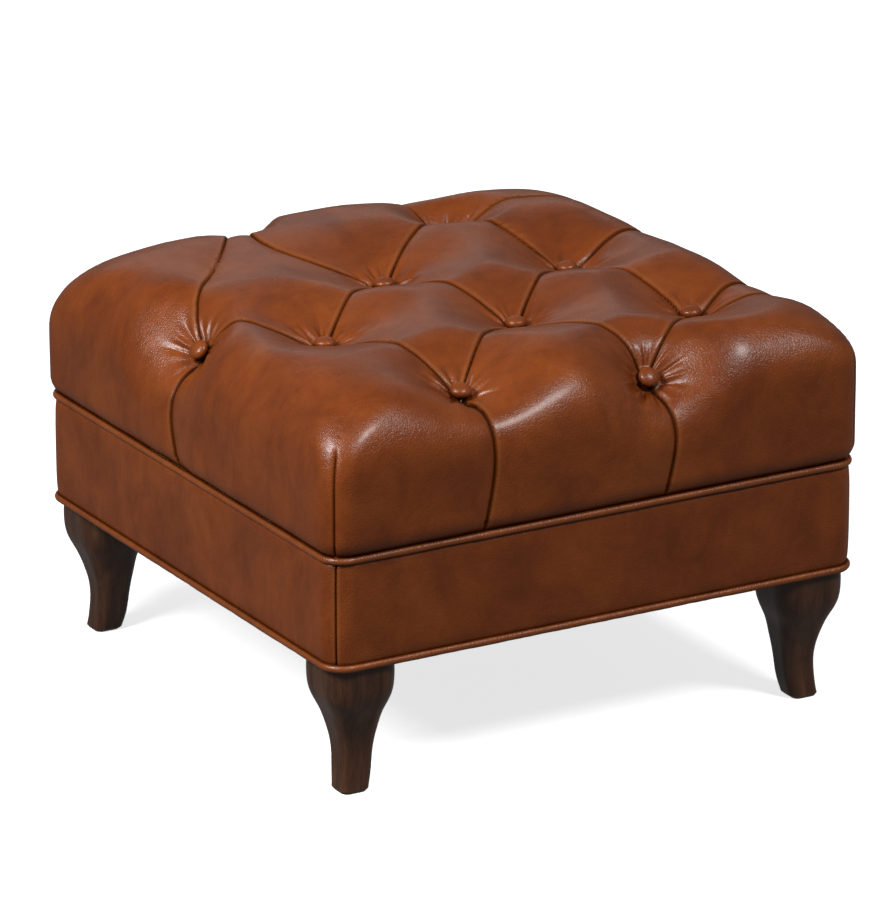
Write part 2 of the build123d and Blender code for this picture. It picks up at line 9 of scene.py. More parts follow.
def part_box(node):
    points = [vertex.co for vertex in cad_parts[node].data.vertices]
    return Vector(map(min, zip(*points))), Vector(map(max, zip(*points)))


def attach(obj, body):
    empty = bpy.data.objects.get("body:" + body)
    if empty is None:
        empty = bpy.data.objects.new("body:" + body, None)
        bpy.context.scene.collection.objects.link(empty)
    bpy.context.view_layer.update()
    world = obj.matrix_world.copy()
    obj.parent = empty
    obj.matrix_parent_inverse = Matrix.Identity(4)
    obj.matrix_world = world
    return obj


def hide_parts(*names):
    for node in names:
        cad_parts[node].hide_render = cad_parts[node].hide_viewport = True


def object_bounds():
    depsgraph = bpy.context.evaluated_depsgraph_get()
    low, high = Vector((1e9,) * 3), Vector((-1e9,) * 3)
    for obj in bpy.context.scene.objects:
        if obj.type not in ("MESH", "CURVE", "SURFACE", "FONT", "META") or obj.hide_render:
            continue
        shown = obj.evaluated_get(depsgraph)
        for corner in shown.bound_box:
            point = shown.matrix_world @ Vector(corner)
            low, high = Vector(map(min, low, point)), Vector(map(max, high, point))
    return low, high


# Looks of a square deep-buttoned leather ottoman. Metres, +Z up, origin on the floor.
# -Y is the front, -X is the left.

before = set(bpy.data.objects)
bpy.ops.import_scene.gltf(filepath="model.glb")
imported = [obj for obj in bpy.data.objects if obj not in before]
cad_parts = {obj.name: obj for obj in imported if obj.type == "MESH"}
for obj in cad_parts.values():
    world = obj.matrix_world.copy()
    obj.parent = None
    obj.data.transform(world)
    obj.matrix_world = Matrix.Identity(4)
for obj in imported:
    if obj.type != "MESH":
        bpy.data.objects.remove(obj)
cad_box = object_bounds()

MM = 0.001

# Sizes read from the frame
cover_low, cover_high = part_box("cushion_cover")
upper_low, upper_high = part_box("upper_piping")
lower_low, lower_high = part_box("lower_piping")
deck_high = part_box("deck_board")[1]
swell_half = cover_high.x
crown_z = cad_box[1].z
foot_z = cover_low.z
deck_half = deck_high.x
deck_z = deck_high.z
piping_radius = (upper_high.z - upper_low.z) / 2
side_half = upper_high.x - piping_radius
upper_z = (upper_low.z + upper_high.z) / 2
lower_z = (lower_low.z + lower_high.z) / 2

# Cushion outside, before it is buttoned
CORNER_RADIUS = 23 * MM            # of the body, at the piping creases
CROWN_PUFF = 2 * MM                # how far the leather stands over the CAD crown
CROWN_FALL = 2 * MM                # middle of the crown down to where the edge rounds off
EDGE_RADII = (60 * MM, 90 * MM)    # least and greatest roll from the crown into the side
# Share of the way from the least to the greatest roll, every 45 degrees from the left
# side round by the front, right and back to the left again
EDGE_ROLL_SHARES = (0.75, 0.6, 0.6, 0.05, 0.45, 1.1, 0.0, 0.9, 0.75)
FOOT_TUCK = 4.8 * MM               # draw-in behind the piping
SWELL_RISE = 20 * MM               # piping to the widest line
FOOT_POWER = 2.4                   # how late the side turns in to its foot
CORNER_SHARE = 0.096               # plan corner radius over half width, at the widest line
CORNER_GROWTH = 1.3                # growth of that share towards the crown
FOOT_ZONE = 0.25                   # share of the height where corners keep their centres
FOOT_BLEND = 12 * MM               # height over which folds and wrinkles begin
LEAST_CORNER = 0.02                # least share that a corner radius may be
SECTION_STEPS = 400                # points along each stretch of the section
TREE_LINES = 161                   # lines each way of the coarse hull for guide points

# Mesh of the cushion
COARSE_CELLS = 164                 # each way, before it is made finer
FINE_BAND = (11 * MM, 5 * MM)      # distance from a fold that gets each finer level
FINE_WELL = (58 * MM, 40 * MM)     # distance from a button that gets each finer level
SNAP_REACH = 4 * MM                # round a fold's box, where points are looked for
SNAP_SHARE = 0.48                  # of the way to the next point, to move onto a fold
UNDERSIDE_GAPS = (0.5 * MM, 0.2 * MM)  # beside the deck board, and over it

# Wells round the buttons
BUTTON_COUNT = 10
WELL_REACH = 134 * MM              # how far from a button its pull ends
RIM_REACHES = {1: 108 * MM, 3: 118 * MM, 4: 100 * MM, 7: 56 * MM, 8: 74 * MM}  # near an edge
WELL_START = 15 * MM               # radius of the flat seat under a button
WELL_SEAT = 9.8 * MM               # button's top down to the leather at its rim
WELL_ROUND = 1.8                   # power of the leather's roundness from seat to crest
WELL_POWER = 2.2                   # how sharply neighbouring wells meet
CALM_REACH = 60 * MM               # from a button's rim to fully uneven leather
UNEVEN = (0.5 * MM, 110 * MM)      # height and length of the leather's slow waves
RIM_SHADE = (0.8, 2.2 * MM)        # painted shade round a button and its half width
FOOT_SHADE = (0.8, 6 * MM)         # painted shade above the piping and its height

# Wrinkles round the buttons
WRINKLE_COUNTS = (8, 11, 15, 21, 29)
WRINKLE_HEIGHT = 5.8 * MM
WRINKLE_MIDDLE = 0.64              # mean of a wrinkle's wave, which stays level
WRINKLE_ZONE = (90 * MM, 30 * MM)  # distance from the button, and below its top
WRINKLE_START = 12 * MM
WRINKLE_RISE = 9 * MM              # length over which they grow
WRINKLE_FALL = 13 * MM             # where they begin to fade
WRINKLE_LENGTHS = (34, 58)         # millimetres, of the broadest
WRINKLE_SWIRL = 0.25               # most that they bend to a side
SWIRL_RATE = 0.12                  # radians a millimetre for a swirl of one
FINE_SHORTER = 0.35                # power by which finer wrinkles are shorter
FINE_LOWER = 0.65                  # and lower

# Folds
FOLD_STEPS = 60                    # points along a fold between buttons
FOLD_REACH = 60 * MM               # furthest from a fold that it is felt
FOLD_END = 6 * MM                  # run-out past its ends
FOLD_CUT = 2.2 * MM
FOLD_CUT_WIDTH = 0.9 * MM
FOLD_VALLEY_WIDTH = 20 * MM
VALLEY_POWER = 2.5                 # how sharply neighbouring valleys meet
VALLEY_AT_BUTTON = 0.1             # share of a valley's depth that it has at its buttons
VALLEY_FILL = 1.5                  # power by which it deepens towards its middle
FOLD_STEP = 1.5 * MM               # height of the layer that lies over the other
FOLD_STEP_RISE = 0.7 * MM
FOLD_STEP_WIDTH = 9 * MM
FOLD_DARK = 1.05 * MM              # half width of the painted shade line in a fold between buttons
SIDE_DARK = 2.0 * MM               # and in one over the edge
FOLD_KEEN = (1.25, 0.80)           # sharpness of a fold at its buttons and half way
SIDE_KEEN = (1.20, 0.85)           # of one over the edge, at its button and from half way
SIDE_VALLEY = 4.6 * MM
SIDE_DEPTH = (1.3, 0.8)            # share of it at the button and from half way
RIDGE_PLACE = 3.2 * MM             # painted highlight line beside a fold
RIDGE_WIDTH = 1.8 * MM
FOLD_HIGHLIGHT = 0.3
EDGE_OUT = 0.93                    # guide point on the rolled edge: share of the half width
EDGE_DOWN = 0.26                   # and of the height from the crown down
MIDDLE_UP = 0.38                   # guide point on the side: share of the height up

# Sewn corner seams
DART_TOP = 377 * MM
DART_REACH = 20 * MM
DART_CUT = (2.0 * MM, 1.0 * MM)    # depth and width
DART_DIP = (1.2 * MM, 7 * MM)
# DART_DARK: half width of the painted shade along a corner seam
DART_DARK = 1.2 * MM
DART_START = (8, 0.05)             # how fast it deepens from its top, and its start there

# Buttons that face out over the rounded edge: the side, and degrees from straight up
BUTTON_LEANS = {1: ("left", 46), 3: ("front", 14), 4: ("front", 42), 7: ("back", 36)}

# Folds between buttons: the two buttons, depth of the valley and sideways bow, in
# millimetres. The ridge lies to the right of the way from the first to the second.
BUTTON_FOLDS = [
    (7, 1, 8, 10), (2, 1, 2.5, 0), (6, 2, 7, -4), (3, 2, 4, 0), (5, 3, 7.5, -7), (4, 5, 5, 0),
    (10, 4, 7, 0), (5, 6, 3.5, 0), (9, 5, 7, -2), (6, 7, 5, 42), (8, 6, 7, -6), (9, 8, 5.5, 0),
    (10, 9, 6.5, 0),
]

# Folds over the edge: button, side, places along the side as shares of side_half, at the
# rolled edge, half way down and at the piping, and how sharp the fold is
SIDE_FOLDS = [
    (3, "front", -0.400, -0.404, -0.445, 1.0),
    (4, "front", 0.280, 0.287, 0.245, 1.0),
    (1, "left", 0.130, 0.105, 0.045, 1.0),
    (10, "right", -0.360, -0.330, -0.320, 0.75),
    (10, "right", -0.580, -0.620, -0.620, 0.5),
    (9, "right", 0.280, 0.310, 0.300, 0.8),
    (8, "right", 0.620, 0.630, 0.610, 0.45),
    (8, "back", 0.270, 0.220, 0.190, 0.9),
    (7, "back", -0.320, -0.300, -0.290, 0.9),
]
SIDES = {"right": (1, 0), "back": (0, 1), "left": (-1, 0), "front": (0, -1)}

# Covered buttons
BUTTON_RADIUS = 11 * MM
BUTTON_RINGS = 16
BUTTON_SPOKES = 48
DOME_HEIGHT = 6 * MM
DOME_SHARE = 0.7                   # of the rings, in the dome
DOME_TURN = 0.94                   # share of a quarter turn from its top to its edge
SKIRT_HEIGHT = 5.6 * MM
SKIRT_TAPER = 0.10
SKIRT_SHADE = (0.85, 0.74, 0.2)    # painted shade, the share of the rings where it starts, and length
GATHERS = 11
GATHER_DEPTH = 0.16 * MM
GATHER_START = (0.55, 0.4)         # share of the rings, and length

# Piping
PIPING_SPACING = 3 * MM            # rings along it
PIPING_ROWS = 20                   # points round it
PIPING_CORNER_STEPS = 14
PIPING_LUMPS = ((0.035, 50 * MM), (0.02, 16 * MM))  # share of the radius, and length
PIPING_LIMIT = 1.04                # most that lumps may make of the radius
PIPING_FLAT = 0.10                 # flatter towards the body
PIPING_SHADE = 0.75                # painted shade above and below, from this share of the radius
PIPING_HIGHLIGHT = (0.22, 0.35)         # painted highlight along its front, so many radians up

# Band panels
BAND_GAP = 0.30                    # of the piping's radius, from its middle to the leather
SEAM_STEPS = (0.15, 0.5, 1.0, 1.7, 2.6, 3.8, 5.4, 7.5, 10.2)  # columns' mm from a seam
SEAM_ZONE = 14 * MM                # that those columns take up
BAND_COLUMNS = 150                 # between them
BAND_ROWS = 34
BAND_SWELL = (2.2 * MM, 11 * MM)   # how far it stands out, and over which distance
BAND_TUCK = (4.6 * MM, 1.6 * MM)   # draw-in at the piping
SEAM_CUT = (2.6 * MM, 0.9 * MM)
SEAM_DIP = (0.8 * MM, 5 * MM)
BAND_WAVES = ((0.45 * MM, 160 * MM), (0.22 * MM, 50 * MM))
BAND_CALM = (14 * MM, 20 * MM)     # even leather along the piping and the seams
BAND_INSET = 0.6 * MM              # between the deck board and a panel's back
BAND_SHADE = (0.5, 1.5 * MM)       # painted shade along the piping and its width
# painted shade along a seam and its half width
SEAM_SHADE = (0.9, 0.8 * MM)
SEAM_HIGHLIGHT = (0.25, 2.6 * MM, 1.4 * MM)  # painted highlight beside a seam, with its distance from the seam and half width


# Small helpers

def smooth(x):
    x = np.clip(x, 0, 1)
    return x * x * (3 - 2 * x)


def falling(distance, width):
    """One at no distance, falling off evenly fast, by a factor of e each width."""
    return np.exp(-distance / width)


def bell(distance, width):
    """One at no distance, falling off as a bell curve."""
    return np.exp(-(distance / width) ** 2)


def sheet_faces(columns, rows):
    """Quads of a sheet of points, whose columns each hold some rows."""
    return [(i * rows + j, (i + 1) * rows + j, (i + 1) * rows + j + 1, i * rows + j + 1)
            for i in range(columns - 1) for j in range(rows - 1)]


def plain_mesh(name, points, faces):
    mesh = bpy.data.meshes.new(name)
    mesh.from_pydata([tuple(point) for point in points], [], faces)
    mesh.validate()
    return mesh


def add_piece(name, mesh, finish):
    """Smooth-shaded object of a mesh, in the row frame."""
    mesh.polygons.foreach_set("use_smooth", [True] * len(mesh.polygons))
    mesh.materials.append(finish)
    piece = bpy.data.objects.new(name, mesh)
    bpy.context.scene.collection.objects.link(piece)
    return piece


def set_painted_light(piece, dark, painted_highlight):
    """Store each point's painted shade and painted highlight; points left over are plain."""
    for name, values in (("dark", dark), ("painted_highlight", painted_highlight)):
        every = np.zeros(len(piece.data.vertices), np.float32)
        every[:len(values)] = np.clip(values, 0, 1)
        piece.data.attributes.new(name, "FLOAT", "POINT").data.foreach_set("value", every)


def stand_for(piece, *nodes):
    """Fix a leather piece to the body, in place of CAD nodes."""
    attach(piece, "root")
    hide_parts(*nodes)


def extrude_rim(grid):
    """Add a strip of faces along the open edge, and give its new points."""
    rims = [e for e in grid.edges if e.is_boundary]
    made = bmesh.ops.extrude_edge_only(grid, edges=rims)["geom"]
    return [g for g in made if isinstance(g, bmesh.types.BMVert)]


def close_rim(grid):
    """Fill the open edge with one face."""
    rims = [e for e in grid.edges if e.is_boundary]
    bmesh.ops.contextual_create(grid, geom=rims)


def span(vertex):
    """Half width of the square, round the middle, that a point is on."""
    return max(abs(vertex.co.x), abs(vertex.co.y))


def set_span(vertex, half):
    """Move a point in plan, in line with the middle, onto such a square."""
    scale = half / span(vertex)
    vertex.co.x *= scale
    vertex.co.y *= scale


def waves(points, scale, seed, count=7):
    """Smooth random field, about -1 to 1, from a sum of plane waves."""
    draw = np.random.default_rng(seed)
    total = np.zeros(len(points))
    for _ in range(count):
        direction = draw.normal(size=3)
        direction /= np.linalg.norm(direction)
        rate = draw.uniform(0.6, 1.7) * 2 * math.pi / scale
        total += np.sin(points @ direction * rate + draw.uniform(0, 2 * math.pi))
    return total / math.sqrt(count)


# Materials

def material(name):
    made = bpy.data.materials.new(name)
    made.use_nodes = True
    return made, made.node_tree, made.node_tree.nodes["Principled BSDF"]


def node(tree, kind, **sockets):
    """New shader node with values on its sockets, by name."""
    made = tree.nodes.new(kind)
    for key, value in sockets.items():
        made.inputs[key.replace("_", " ")].default_value = value
    return made


def object_coordinates(tree):
    return tree.nodes.new("ShaderNodeTexCoord").outputs["Object"]


def noise(tree, scale, detail, roughness, distortion=0.0, stretch=None):
    made = node(tree, "ShaderNodeTexNoise", Scale=scale, Detail=detail, Roughness=roughness,
                Distortion=distortion)
    source = object_coordinates(tree)
    if stretch:
        mapping = tree.nodes.new("ShaderNodeMapping")
        mapping.inputs["Scale"].default_value = stretch
        tree.links.new(source, mapping.inputs["Vector"])
        source = mapping.outputs["Vector"]
    tree.links.new(source, made.inputs["Vector"])
    return made.outputs["Fac"]


def ramp(tree, source, stops):
    """Colours by the source's value, between stops of a place and a colour."""
    made = tree.nodes.new("ShaderNodeValToRGB")
    elements = made.color_ramp.elements
    while len(elements) < len(stops):
        elements.new(0.5)
    for element, (place, colour) in zip(elements, stops):
        element.position = place
        element.color = (*colour, 1)
    tree.links.new(source, made.inputs["Fac"])
    return made.outputs["Color"]


def grey(tree, source, low, high, start, end):
    """Numbers from low to high as source goes from start to end."""
    made = node(tree, "ShaderNodeMapRange", From_Min=start, From_Max=end, To_Min=low, To_Max=high)
    tree.links.new(source, made.inputs["Value"])
    return made.outputs["Result"]


def mix(tree, share, first, second, blend="MIX"):
    """Mix of two colours, each a colour or a socket."""
    made = tree.nodes.new("ShaderNodeMix")
    made.data_type = "RGBA"
    made.blend_type = blend
    share_and_colours = [made.inputs[index] for index in (0, 6, 7)]
    for socket, value in zip(share_and_colours, (share, first, second)):
        if isinstance(value, float):
            socket.default_value = value
        elif isinstance(value, tuple):
            socket.default_value = (*value, 1)
        else:
            tree.links.new(value, socket)
    return made.outputs[2]


def attribute(tree, name):
    made = tree.nodes.new("ShaderNodeAttribute")
    made.attribute_name = name
    return made.outputs["Fac"]


def bump(tree, height, strength, distance, normal=None):
    made = node(tree, "ShaderNodeBump", Strength=strength, Distance=distance)
    tree.links.new(height, made.inputs["Height"])
    if normal is not None:
        tree.links.new(normal, made.inputs["Normal"])
    return made.outputs["Normal"]


LEATHER_DYES = ((0.28, (0.160, 0.032, 0.0040)), (0.50, (0.215, 0.045, 0.0058)),
                (0.72, (0.262, 0.060, 0.0085)))
LEATHER_STREAKS = ((0.30, (0.74, 0.71, 0.68)), (0.52, (1.0, 1.0, 1.0)),
                   (0.72, (1.13, 1.16, 1.18)))
PAINTED_HIGHLIGHT_COLOUR = (0.38, 0.125, 0.034)
PAINTED_SHADE_COLOUR = (0.020, 0.0055, 0.0020)
CREASE_FULL = 0.6                  # painted shade from which a crease has no shine


def leather_material():
    """Semi-gloss cognac leather: mottled dye, pebble grain, painted crease shade, painted ridge
    highlights.
    """
    made, tree, shader = material("leather")
    mottle = noise(tree, scale=11.0, detail=5.0, roughness=0.6, distortion=0.8)
    streaks = noise(tree, scale=26.0, detail=7.0, roughness=0.72, distortion=0.6,
                    stretch=(1.0, 1.6, 0.7))
    colour = mix(tree, 0.8, ramp(tree, mottle, LEATHER_DYES),
                 ramp(tree, streaks, LEATHER_STREAKS), "MULTIPLY")
    # Painted highlight: lighter colour along fold ridges, beside seams and along the piping's front
    colour = mix(tree, attribute(tree, "painted_highlight"), colour, PAINTED_HIGHLIGHT_COLOUR)
    # Painted shade: darker colour in folds, seams, round buttons and along the piping
    dark = attribute(tree, "dark")
    tree.links.new(mix(tree, dark, colour, PAINTED_SHADE_COLOUR), shader.inputs["Base Color"])
    shine = noise(tree, scale=60.0, detail=4.0, roughness=0.6)
    tree.links.new(grey(tree, shine, 0.27, 0.38, 0.3, 0.7), shader.inputs["Roughness"])
    tree.links.new(grey(tree, dark, 0.40, 0.02, 0.0, CREASE_FULL),
                   shader.inputs["Specular IOR Level"])
    tree.links.new(grey(tree, dark, 0.25, 0.0, 0.0, CREASE_FULL), shader.inputs["Coat Weight"])
    shader.inputs["Coat Roughness"].default_value = 0.22
    pebbles = node(tree, "ShaderNodeTexVoronoi", Scale=640.0, Randomness=1.0)
    pebbles.feature = "SMOOTH_F1"
    tree.links.new(object_coordinates(tree), pebbles.inputs["Vector"])
    lines = noise(tree, scale=190.0, detail=6.0, roughness=0.65, distortion=1.2)
    grain = bump(tree, pebbles.outputs["Distance"], 0.5, 0.6 * MM, bump(tree, lines, 0.5, 0.9 * MM))
    tree.links.new(grain, shader.inputs["Normal"])
    return made


ALONG_X = (2.6, 30.0, 30.0)        # noise scales of wood grain along X
ALONG_Z = (30.0, 30.0, 2.6)
ALONG_PLY = (2.6, 18.0, 30.0)


def wood_material(name, dark, middle, light, roughness, along, coat=0.0):
    """Wood with grain along the axis with the smallest scale."""
    made, tree, shader = material(name)
    grain = noise(tree, scale=3.0, detail=7.0, roughness=0.62, distortion=0.5, stretch=along)
    pores = noise(tree, scale=12.0, detail=3.0, roughness=0.6,
                  stretch=tuple(2 * scale for scale in along))
    colour = ramp(tree, grain, ((0.30, dark), (0.52, middle), (0.76, light)))
    shaded = ramp(tree, pores, ((0.38, (0.70, 0.70, 0.70)), (0.55, (1.0, 1.0, 1.0))))
    tree.links.new(mix(tree, 0.8, colour, shaded, "MULTIPLY"), shader.inputs["Base Color"])
    tree.links.new(grey(tree, grain, roughness - 0.05, roughness + 0.08, 0.3, 0.7),
                   shader.inputs["Roughness"])
    shader.inputs["Coat Weight"].default_value = coat
    shader.inputs["Coat Roughness"].default_value = 0.14
    tree.links.new(bump(tree, pores, 0.15, 0.3 * MM), shader.inputs["Normal"])
    return made


def cloth_material(name, first, second, scale):
    """Matt fibre, felt, foam or card with a fine uneven surface."""
    made, tree, shader = material(name)
    fibres = noise(tree, scale=scale, detail=5.0, roughness=0.7)
    tree.links.new(ramp(tree, fibres, ((0.35, first), (0.65, second))),
                   shader.inputs["Base Color"])
    shader.inputs["Roughness"].default_value = 0.9
    tree.links.new(bump(tree, fibres, 0.4, 0.4 * MM), shader.inputs["Normal"])
    return made


def steel_material():
    """Zinc-plated steel with fine streaks."""
    made, tree, shader = material("zinc_steel")
    streaks = noise(tree, scale=90.0, detail=4.0, roughness=0.6)
    tree.links.new(ramp(tree, streaks, ((0.3, (0.40, 0.40, 0.41)), (0.7, (0.62, 0.62, 0.60)))),
                   shader.inputs["Base Color"])
    shader.inputs["Metallic"].default_value = 1.0
    tree.links.new(grey(tree, streaks, 0.28, 0.45, 0.3, 0.7), shader.inputs["Roughness"])
    return made


leather = leather_material()
walnut = wood_material("dark_walnut", (0.040, 0.0140, 0.0062), (0.082, 0.0310, 0.0135),
                       (0.150, 0.0600, 0.0270), 0.26, ALONG_Z, coat=0.5)
hardwood = wood_material("frame_hardwood", (0.42, 0.28, 0.16), (0.58, 0.42, 0.25),
                         (0.68, 0.52, 0.34), 0.6, ALONG_X)
plywood = wood_material("plywood", (0.52, 0.37, 0.22), (0.66, 0.50, 0.32),
                        (0.74, 0.60, 0.42), 0.62, ALONG_PLY)
steel = steel_material()
foam = cloth_material("foam", (0.78, 0.70, 0.44), (0.86, 0.80, 0.56), 700.0)
wadding = cloth_material("wadding", (0.80, 0.80, 0.78), (0.92, 0.92, 0.90), 260.0)
cord_cotton = cloth_material("cotton_cord", (0.62, 0.57, 0.47), (0.78, 0.73, 0.62), 900.0)
card = cloth_material("pressed_card", (0.38, 0.31, 0.23), (0.50, 0.42, 0.32), 500.0)
dust_cloth = cloth_material("dust_cloth", (0.012, 0.012, 0.012), (0.030, 0.030, 0.030), 800.0)

# Material of each CAD node, by the longest start of its name
NODE_MATERIALS = {
    "leg_": walnut, "corner_block_screws": steel, "corner_block_": hardwood,
    "rail_": hardwood, "hanger_bolts": steel, "tee_nuts": steel,
    "centre_stretcher": hardwood, "stretcher_screws": steel, "deck_board": plywood,
    "deck_screws": steel, "cushion_cover": leather, "cushion_wadding": wadding,
    "cushion_foam": foam, "button_backs": steel, "button_": leather,
    "tufting_twines": cord_cotton, "twine_toggles": hardwood, "upper_piping_cord": cord_cotton,
    "lower_piping_cord": cord_cotton, "upper_piping": leather, "lower_piping": leather,
    "band_leather_": leather, "band_padding_": wadding, "tack_strip": card,
    "dust_cover_staples": steel, "dust_cover": dust_cloth,
}


def dress_nodes():
    """Give each CAD node its own procedural material."""
    for name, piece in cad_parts.items():
        start = max((key for key in NODE_MATERIALS if name.startswith(key)), key=len)
        piece.data.materials.clear()
        piece.data.materials.append(NODE_MATERIALS[start])


# Cushion outside

def profile(edge_radius):
    """Half width and height along the section, by the share of its length from the middle."""
    edge_half = swell_half - edge_radius
    crown = crown_z + CROWN_PUFF
    edge_z = crown - CROWN_FALL - edge_radius
    flat = np.linspace(0, edge_half, SECTION_STEPS)
    turn = np.linspace(0, math.pi / 2, SECTION_STEPS)[1:]
    below = np.linspace(edge_z, foot_z, SECTION_STEPS)[1:]
    half = np.concatenate([flat, edge_half + edge_radius * np.sin(turn),
                           np.full(len(below), swell_half)])
    height = np.concatenate([crown - CROWN_FALL * (flat / edge_half) ** 2,
                             edge_z + edge_radius * np.cos(turn), below])
    low = np.clip((foot_z + SWELL_RISE - height) / SWELL_RISE, 0, 1)
    foot_half = side_half - FOOT_TUCK
    half -= (swell_half - foot_half) * low ** FOOT_POWER
    length = np.append(0, np.cumsum(np.hypot(np.diff(half), np.diff(height))))
    return length / length[-1], half, height


PROFILES = [profile(radius) for radius in EDGE_RADII]


def hull(domain):
    """Points on the unbuttoned cushion for points of the square from -1 to 1."""
    a, b = domain[:, 0], domain[:, 1]
    ring = np.maximum(np.maximum(np.abs(a), np.abs(b)), 1e-9)
    around = (np.degrees(np.arctan2(b, a)) + 180) / 45
    step = np.minimum(around.astype(int), len(EDGE_ROLL_SHARES) - 2)
    roll = np.array(EDGE_ROLL_SHARES)
    roll = roll[step] + (roll[step + 1] - roll[step]) * smooth(around - step)
    sections = [[np.interp(ring, share, values) for values in (half, height)]
                for share, half, height in PROFILES]
    half, height = (least + roll * (greatest - least) for least, greatest in zip(*sections))
    at_foot = height < upper_z + (crown_z - upper_z) * FOOT_ZONE
    share = np.where(at_foot, CORNER_SHARE + (half - swell_half) / swell_half,
                     CORNER_SHARE + CORNER_GROWTH * (1 - half / swell_half))
    radius = half * np.clip(share, LEAST_CORNER, 1)
    cross = np.minimum(np.abs(a), np.abs(b)) / ring
    walk = cross * (half - radius + radius * math.pi / 4)
    turn = np.maximum(walk - (half - radius), 0) / np.maximum(radius, 1e-9)
    far = half - radius + radius * np.cos(turn)
    near = np.where(turn > 0, half - radius + radius * np.sin(turn), walk)
    a_leads = np.abs(a) >= np.abs(b)
    x = np.where(a_leads, far, near) * np.sign(a)
    y = np.where(a_leads, near, far) * np.sign(b)
    return np.stack([x, y, height], 1)


def hull_normals(domain):
    """Outward unit normals of the hull."""
    step = 2e-3
    a = hull(np.clip(domain + [step, 0], -1, 1)) - hull(np.clip(domain - [step, 0], -1, 1))
    b = hull(np.clip(domain + [0, step], -1, 1)) - hull(np.clip(domain - [0, step], -1, 1))
    normal = np.cross(a, b)
    return normal / np.maximum(np.linalg.norm(normal, axis=1), 1e-12)[:, None]


def hull_tree():
    """Search tree of a coarse hull, for putting guide points on it."""
    line = np.linspace(-1, 1, TREE_LINES)
    grid = np.stack(np.meshgrid(line, line, indexing="ij"), -1).reshape(-1, 2)
    return BVHTree.FromPolygons([Vector(point) for point in hull(grid)],
                                sheet_faces(TREE_LINES, TREE_LINES))


HULL_TREE = hull_tree()


def on_hull(points):
    """Nearest points on the hull."""
    return np.array([HULL_TREE.find_nearest(Vector(point))[0] for point in points])


def above(x, y):
    """Point of the hull over a place in plan."""
    found = HULL_TREE.ray_cast(Vector((x, y, 2 * crown_z)), Vector((0, 0, -1)))[0]
    return np.array(found)


def facing_of(number):
    """Direction in which a button faces."""
    side, lean = BUTTON_LEANS.get(number, ("front", 0))
    lean = math.radians(lean)
    x, y = SIDES[side]
    return np.array([x * math.sin(lean), y * math.sin(lean), math.cos(lean)])


def button_top(number):
    """Top of a button: the point of its CAD node furthest out the way that it faces."""
    points = np.array([v.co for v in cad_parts[f"button_{number}"].data.vertices])
    return points[np.argmax(points @ FACINGS[number])]


def anchor_of(number):
    """Point of the hull straight out from a button."""
    facing = Vector(FACINGS[number])
    start = Vector(TOPS[number]) + facing * swell_half
    return np.array(HULL_TREE.ray_cast(start, -facing)[0])


BUTTONS = range(1, BUTTON_COUNT + 1)
FACINGS = {number: facing_of(number) for number in BUTTONS}
TOPS = {number: button_top(number) for number in BUTTONS}
ANCHORS = {number: anchor_of(number) for number in BUTTONS}


# Lines of the folds and seams

def curve_through(points, steps):
    """Even points on a Catmull-Rom curve through guide points."""
    points = np.asarray(points, float)
    padded = np.vstack([2 * points[0] - points[1], points, 2 * points[-1] - points[-2]])
    made = []
    for index in range(len(points) - 1):
        p0, p1, p2, p3 = padded[index:index + 4]
        for t in np.linspace(0, 1, 40, endpoint=False):
            made.append(0.5 * (2 * p1 + (p2 - p0) * t + (2 * p0 - 5 * p1 + 4 * p2 - p3) * t ** 2
                               + (3 * p1 - p0 - 3 * p2 + p3) * t ** 3))
    made.append(points[-1])
    made = np.array(made)
    length = np.append(0, np.cumsum(np.linalg.norm(np.diff(made, axis=0), axis=1)))
    even = np.linspace(0, length[-1], steps)
    return np.stack([np.interp(even, length, made[:, axis]) for axis in range(3)], 1)


def button_fold(first, second, bow):
    """Line of a fold between two buttons, on the hull."""
    start, end = ANCHORS[first], ANCHORS[second]
    aside = np.array([start[1] - end[1], end[0] - start[0]])
    aside /= np.linalg.norm(aside)
    middle = above(*((start + end)[:2] / 2 + aside * bow * MM))
    return on_hull(curve_through([start, middle, end], FOLD_STEPS))


def side_fold(number, side, edge_share, middle_share, foot_share):
    """Line of a fold from a button over the edge to the piping."""
    out = np.array([*SIDES[side], 0.0])
    tangent = np.array([abs(out[1]), abs(out[0]), 0.0])
    edge = out * swell_half * EDGE_OUT + tangent * edge_share * side_half
    edge[2] = crown_z - (crown_z - upper_z) * EDGE_DOWN
    middle = out * swell_half + tangent * middle_share * side_half
    middle[2] = upper_z + (crown_z - upper_z) * MIDDLE_UP
    foot = out * (side_half - FOOT_TUCK) + tangent * foot_share * side_half
    foot[2] = foot_z
    return on_hull(curve_through([ANCHORS[number], edge, middle, foot], 2 * FOLD_STEPS))


def dart_line(sign_x, sign_y):
    """Sewn seam up a corner of the cushion, on the hull."""
    ring = np.linspace(0.5, 1, SECTION_STEPS)
    points = hull(np.stack([ring * sign_x, ring * sign_y], 1))
    return points[points[:, 2] < DART_TOP]


def between(ends, share):
    """Number between two ends, by its share of the way."""
    return ends[0] + (ends[1] - ends[0]) * share


def folds():
    """Every fold: line, depth of its valley and sharpness along it, ridge's side, painted shade's
    width.
    """
    made = []
    for first, second, valley, bow in BUTTON_FOLDS:
        line = button_fold(first, second, bow)
        middle = np.sin(math.pi * np.linspace(0, 1, len(line)))
        depth = valley * MM * between((VALLEY_AT_BUTTON, 1), middle ** VALLEY_FILL)
        made.append((line, depth, between(FOLD_KEEN, middle), 1, FOLD_DARK))
    for number, side, *shares, sharp in SIDE_FOLDS:
        line = side_fold(number, side, *shares)
        down = smooth(np.linspace(0, 1, len(line)) * 2)
        depth = SIDE_VALLEY * between(SIDE_DEPTH, down)
        ridge_side = 1 if side == "left" else -1
        made.append((line, depth * sharp, sharp * between(SIDE_KEEN, down), ridge_side, SIDE_DARK))
    return made


